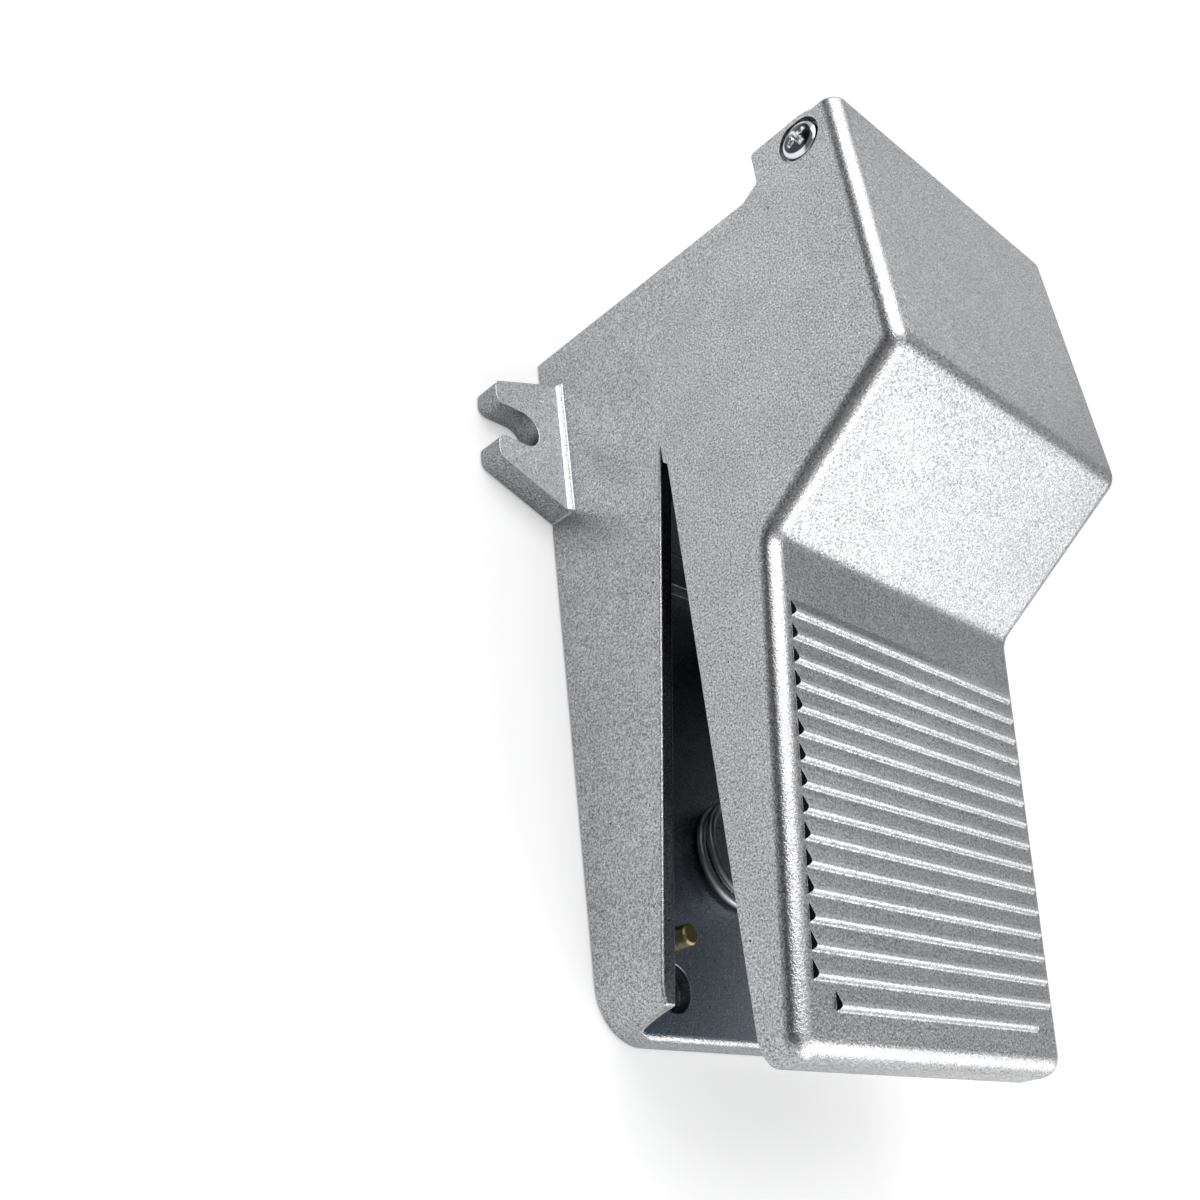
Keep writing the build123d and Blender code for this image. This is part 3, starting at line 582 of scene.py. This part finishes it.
def make_port_threads(material):
    """The pipe thread in each port: a low ridge that winds from the mouth to the end of the bore."""
    pitch, ridge, sides = 1.337 * MM, 0.42 * MM, 40
    plain_turns, mouth_gap, fade_turns, foot, crest_half = 1.6, 0.4, 0.4, 0.42, 0.08
    ports = [mount for mount in frame["record"]["mounts"] if mount["name"].startswith("port_")]
    drilled = next(mount for mount in ports if mount["kind"] == "threaded_hole")
    radius, length = drilled["dims"]["r_mm"] * MM, drilled["dims"]["length_mm"] * MM
    steps = int((length / pitch - plain_turns) * sides)
    for mount in ports:
        middle = Vector((mount["pos_m"][0], drilled["pos_m"][1], mount["pos_m"][2]))
        shape = bmesh.new()
        rows = []
        for i in range(steps + 1):
            angle = 2 * math.pi * i / sides
            along = middle.y + length / 2 - mouth_gap * pitch - pitch * i / sides
            fade = min(1.0, i / (sides * fade_turns), (steps - i) / (sides * fade_turns))
            crest = radius - ridge * fade
            row = []
            for r, offset in ((radius, -foot), (crest, -crest_half), (crest, crest_half), (radius, foot)):
                x, z = middle.x + r * math.cos(angle), middle.z + r * math.sin(angle)
                row.append(shape.verts.new((x, along + offset * pitch, z)))
            rows.append(row)
        for row, after in zip(rows, rows[1:]):
            for k in range(len(row)):
                next_k = (k + 1) % len(row)
                shape.faces.new((row[k], row[next_k], after[next_k], after[k]))
        shape.faces.new(rows[0])
        shape.faces.new(reversed(rows[-1]))
        thread = finished_mesh(mount["name"] + "_thread", shape, 30.0)
        thread.data.materials.append(material)
        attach(thread, "base")


# Stage: a pale floor and soft studio light

def make_floor():
    """A pale painted floor that looks white, and white in mirrors, where the valve doesn't shade it."""
    size, drop, lift_seen, lift_mirrored = 12.0, 0.4 * MM, 0.36, 0.10
    painted_radius, white_radius = 150.0, 500.0
    material, tree, output, place = new_material("pale_floor")
    rays = node(tree, "ShaderNodeLightPath").outputs
    seen = node(
        tree, "ShaderNodeMath",
        {0: rays["Is Camera Ray"], 1: rays["Is Transmission Ray"]}, operation="MAXIMUM",
    ).outputs["Value"]
    mirrored = node(
        tree, "ShaderNodeMath", {0: rays["Is Glossy Ray"], 1: lift_mirrored}, operation="MULTIPLY"
    ).outputs["Value"]
    paint = node(tree, "ShaderNodeBsdfDiffuse", {"Color": linear("#e8e8e8")})
    lift = node(
        tree, "ShaderNodeMath", {0: seen, 1: lift_seen, 2: mirrored}, operation="MULTIPLY_ADD"
    ).outputs["Value"]
    glow = node(tree, "ShaderNodeEmission", {"Strength": lift})
    near = node(tree, "ShaderNodeAddShader", {0: paint.outputs["BSDF"], 1: glow.outputs["Emission"]})
    white = node(tree, "ShaderNodeEmission")
    distance = node(tree, "ShaderNodeVectorMath", {0: place}, operation="LENGTH").outputs["Value"]
    far = node(
        tree, "ShaderNodeMapRange",
        {"Value": distance, "From Min": painted_radius, "From Max": white_radius},
    ).outputs["Result"]
    share = node(tree, "ShaderNodeMath", {0: far, 1: seen}, operation="MULTIPLY").outputs["Value"]
    both = node(
        tree, "ShaderNodeMixShader", {0: share, 1: near.outputs["Shader"], 2: white.outputs["Emission"]}
    )
    tree.links.new(both.outputs["Shader"], output.inputs["Surface"])
    bpy.ops.mesh.primitive_plane_add(size=size, location=(0, 0, -drop))
    floor = bpy.context.object
    floor.name = "pale_floor"
    floor.data.materials.append(material)


def make_world():
    """White light from all round, with the studio's dark side at the left. The camera sees plain white."""
    dark_side, edge_start, edge_end, lit, dark = (-0.96, -0.08, 0.25), 0.55, 0.78, 0.48, 0.12
    world = bpy.data.worlds.new("studio")
    scene.world = world
    world.use_nodes = True
    tree = world.node_tree
    tree.nodes.clear()
    output = node(tree, "ShaderNodeOutputWorld")
    rays = node(tree, "ShaderNodeLightPath").outputs
    direction = node(tree, "ShaderNodeTexCoord").outputs["Generated"]
    towards_dark = node(
        tree, "ShaderNodeVectorMath", {0: direction, 1: dark_side}, operation="DOT_PRODUCT"
    ).outputs["Value"]
    light = node(
        tree, "ShaderNodeMapRange",
        {
            "Value": towards_dark, "From Min": edge_start, "From Max": edge_end, "To Min": lit,
            "To Max": dark,
        },
    ).outputs["Result"]
    strength = node(
        tree, "ShaderNodeMapRange", {"Value": rays["Is Camera Ray"], "To Min": light, "To Max": 1.0}
    ).outputs["Result"]
    background = node(tree, "ShaderNodeBackground", {"Color": [1, 1, 1, 1], "Strength": strength})
    tree.links.new(background.outputs["Background"], output.inputs["Surface"])


def softbox(name, direction, across, distance, width, height, level):
    """A rectangular soft lamp that looks at the valve, with a given brightness where it is mirrored."""
    aim = Vector((0, 0, 40 * MM))
    data = bpy.data.lights.new(name, "AREA")
    data.shape = "RECTANGLE"
    data.size, data.size_y, data.energy = width, height, level * math.pi * width * height
    lamp = bpy.data.objects.new(name, data)
    away = Vector(direction).normalized()
    side = (Vector(across) - away * away.dot(Vector(across))).normalized()
    turn = Matrix((side, away.cross(side), away)).transposed().to_4x4()
    lamp.matrix_world = Matrix.Translation(aim + away * distance) @ turn
    scene.collection.objects.link(lamp)


make_camera()
make_floor()
make_world()
softbox("front_right_softbox", (0.42, -0.78, 0.42), (0.88, 0.47, 0.0), 0.75, 1.1, 0.62, 1.75)
softbox("overhead_softbox", (-0.36, 0.45, 0.80), (1.0, 0.0, 0.0), 0.80, 0.78, 0.90, 1.95)
softbox("rear_right_softbox", (0.62, 0.62, 0.46), (0.71, -0.71, 0.0), 0.90, 0.35, 0.35, 0.5)

# Shot-blasted castings: matt pale grey that sparkles a little. The tray's edges are painted pale wider:
# partly wear, partly painted highlight.
tray_metal = cast_aluminium(
    "shot_blasted_cast_aluminium_tray", tray_inside, tray_painted_shade, tray_wear_and_highlight, edge_mm=0.38
)
hood_metal = cast_aluminium(
    "shot_blasted_cast_aluminium_hood", hood_inside, hood_painted_shade, hood_wear_and_highlight, edge_mm=0.20
)
# Milled aluminium: half glossy and smoother than the castings, with straight cutter marks fore and aft.
milled = worked_surface("milled_aluminium", "#8f9195", "#abadb1", 0.30, (0.35, 8.0, 0.35), 0.006)
# Turned brass, gone dull: a muted yellow with faint level rings and a soft highlight.
brass = worked_surface("turned_brass", "#8b7f5b", "#a3966f", 0.38, (0.5, 0.5, 0.25), 0.003)
# Sintered bronze: brown, matt and evenly speckled by the grains of its powder.
bronze = worked_surface("sintered_bronze", "#6f5a3c", "#a58a60", 0.42, (0.2, 0.2, 0.2), 0.012)
# Pressed fibre sheet: dark green-grey and dry, with short fibres.
gasket = worked_surface("pressed_gasket_sheet", "#3a423f", "#515a56", 0.75, (0.9, 0.25, 0.25), 0.02, 0.0)
# Moulded nitrile rubber: black, with a dull sheen and hardly a mark.
rubber = worked_surface("moulded_nitrile_rubber", "#1b1b1c", "#262628", 0.55, (0.6, 0.6, 0.6), 0.01, 0.0)
# Moulded acetal: off-white and smooth, with faint clouds.
acetal = worked_surface("moulded_acetal", "#e6e4dd", "#efede7", 0.40, (1.5, 1.5, 1.5), 0.01, 0.0)
# Bright zinc plate: a dark mirror that shows the studio in patches, with edges painted white: partly wear,
# partly painted highlight.
zinc = worked_surface(
    "bright_zinc_plate", "#3f474f", "#555e67", 0.10, (0.5, 0.5, 0.5), 0.004, rubbed_and_highlit="#f4f8fa", edge_mm=0.38
)
# The same plate on the pivot screws: darker still, so the rim and cross, painted white as wear and painted
# highlight, stand out.
screw_zinc = worked_surface(
    "bright_zinc_plate_screw_head", "#333a41", "#484f57", 0.10, (0.5, 0.5, 0.5), 0.004, rubbed_and_highlit="#f4f8fa",
    edge_mm=0.30, wear_and_highlight=screw_head_wear_and_highlight,
)
# Ground steel: a clean grey shine with fine lines across it.
ground = worked_surface("ground_steel", "#8b8d91", "#adafb3", 0.20, (0.12, 2.5, 2.5), 0.003)
# Drawn spring wire: pale and half matt, with the die's streaks along each turn.
wire = worked_surface("drawn_spring_wire", "#a6a7a9", "#c6c7c9", 0.38, (2.2, 2.2, 0.18), 0.006)

dressed = {
    "base_housing": tray_metal, "pedal_cover": hood_metal, "stop_pins": brass,
    "pivot_bushes": bronze, "guide_bush": bronze,
    "lower_end_cap": milled, "upper_end_cap": milled, "valve_body": milled, "spool": milled,
    "lower_gasket": gasket, "upper_gasket": gasket, "plunger_seal": rubber, "spool_seals": rubber,
    "spool_bumper": acetal, "body_screws": zinc, "upper_cap_screws": zinc, "pivot_screws": screw_zinc,
    "pivot_shaft": ground, "plunger": ground, "pedal_spring": wire, "spool_spring": wire,
}
for name, material in dressed.items():
    nodes[name].data.materials.clear()
    nodes[name].data.materials.append(material)
make_spring("return_spring", "pedal_spring", 11.0 * MM, 0.9 * MM, 6.5, 90.0, wire)
make_spring("spool_return_spring", "spool_spring", 3.0 * MM, 0.45 * MM, 4.0, 0.0, wire)
make_pivot_screws(screw_zinc)
make_lug_root(tray_metal)
make_port_threads(milled)

scene.view_settings.view_transform = "Standard"
